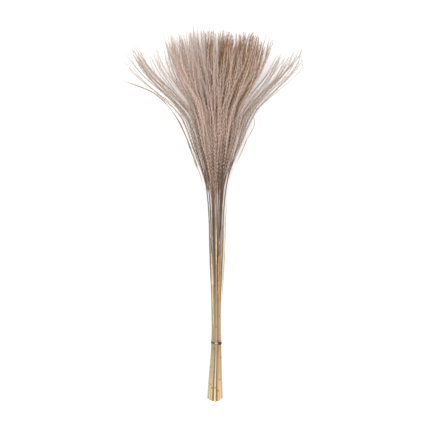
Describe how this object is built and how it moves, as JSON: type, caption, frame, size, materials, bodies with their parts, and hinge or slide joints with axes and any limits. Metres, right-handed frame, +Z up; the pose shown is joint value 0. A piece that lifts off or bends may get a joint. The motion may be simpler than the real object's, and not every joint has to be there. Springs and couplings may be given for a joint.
{
  "type": "bundle of dried pampas grass",
  "caption": "Tied bundle of long dried grass stems with fluffy fanned plumes, lying on its side, for a vase or wall display.",
  "frame": {"origin": "centre of the bundle's bounding box at the surface it lies on", "axes": "+Y along the bundle from the cut ends to the plume tips, +Z up off the surface, +X to the right seen from above with the plumes up"},
  "size_m": [0.4662, 1, 0.1405],
  "materials": {
    "stem": "dry straw, satin, with joints and lengthwise grain",
    "plume": "soft pinkish taupe plant hairs",
    "leaf": "dry curled leaf, matt, tan to dark olive",
    "tie": "glossy black"
  },
  "bodies": {
    "root": {"stem_01": "stem", "stem_02": "stem", "stem_03": "stem", "stem_04": "stem", "stem_05": "stem", "stem_06": "stem", "stem_07": "stem", "stem_08": "stem", "stem_09": "stem", "stem_10": "stem", "stem_11": "stem", "stem_12": "stem", "stem_13": "stem", "stem_14": "stem", "stem_15": "stem", "stem_16": "stem", "stem_17": "stem", "stem_18": "stem", "stem_19": "stem", "plume_01": "plume", "plume_02": "plume", "plume_03": "plume", "plume_04": "plume", "plume_05": "plume", "plume_06": "plume", "plume_07": "plume", "plume_08": "plume", "plume_09": "plume", "plume_10": "plume", "plume_11": "plume", "plume_12": "plume", "plume_13": "plume", "plume_14": "plume", "plume_15": "plume", "plume_16": "plume", "plume_17": "plume", "plume_18": "plume", "plume_19": "plume", "leaf_long_arch": "leaf", "leaf_right_curl": "leaf", "leaf_dark_blade": "leaf", "leaf_pale_sheath": "leaf", "leaf_left_thread": "leaf", "leaf_low_thread": "leaf", "leaf_under_blade": "leaf", "leaf_old_sheath": "leaf", "tie": "tie"}
  },
  "joints": []
}
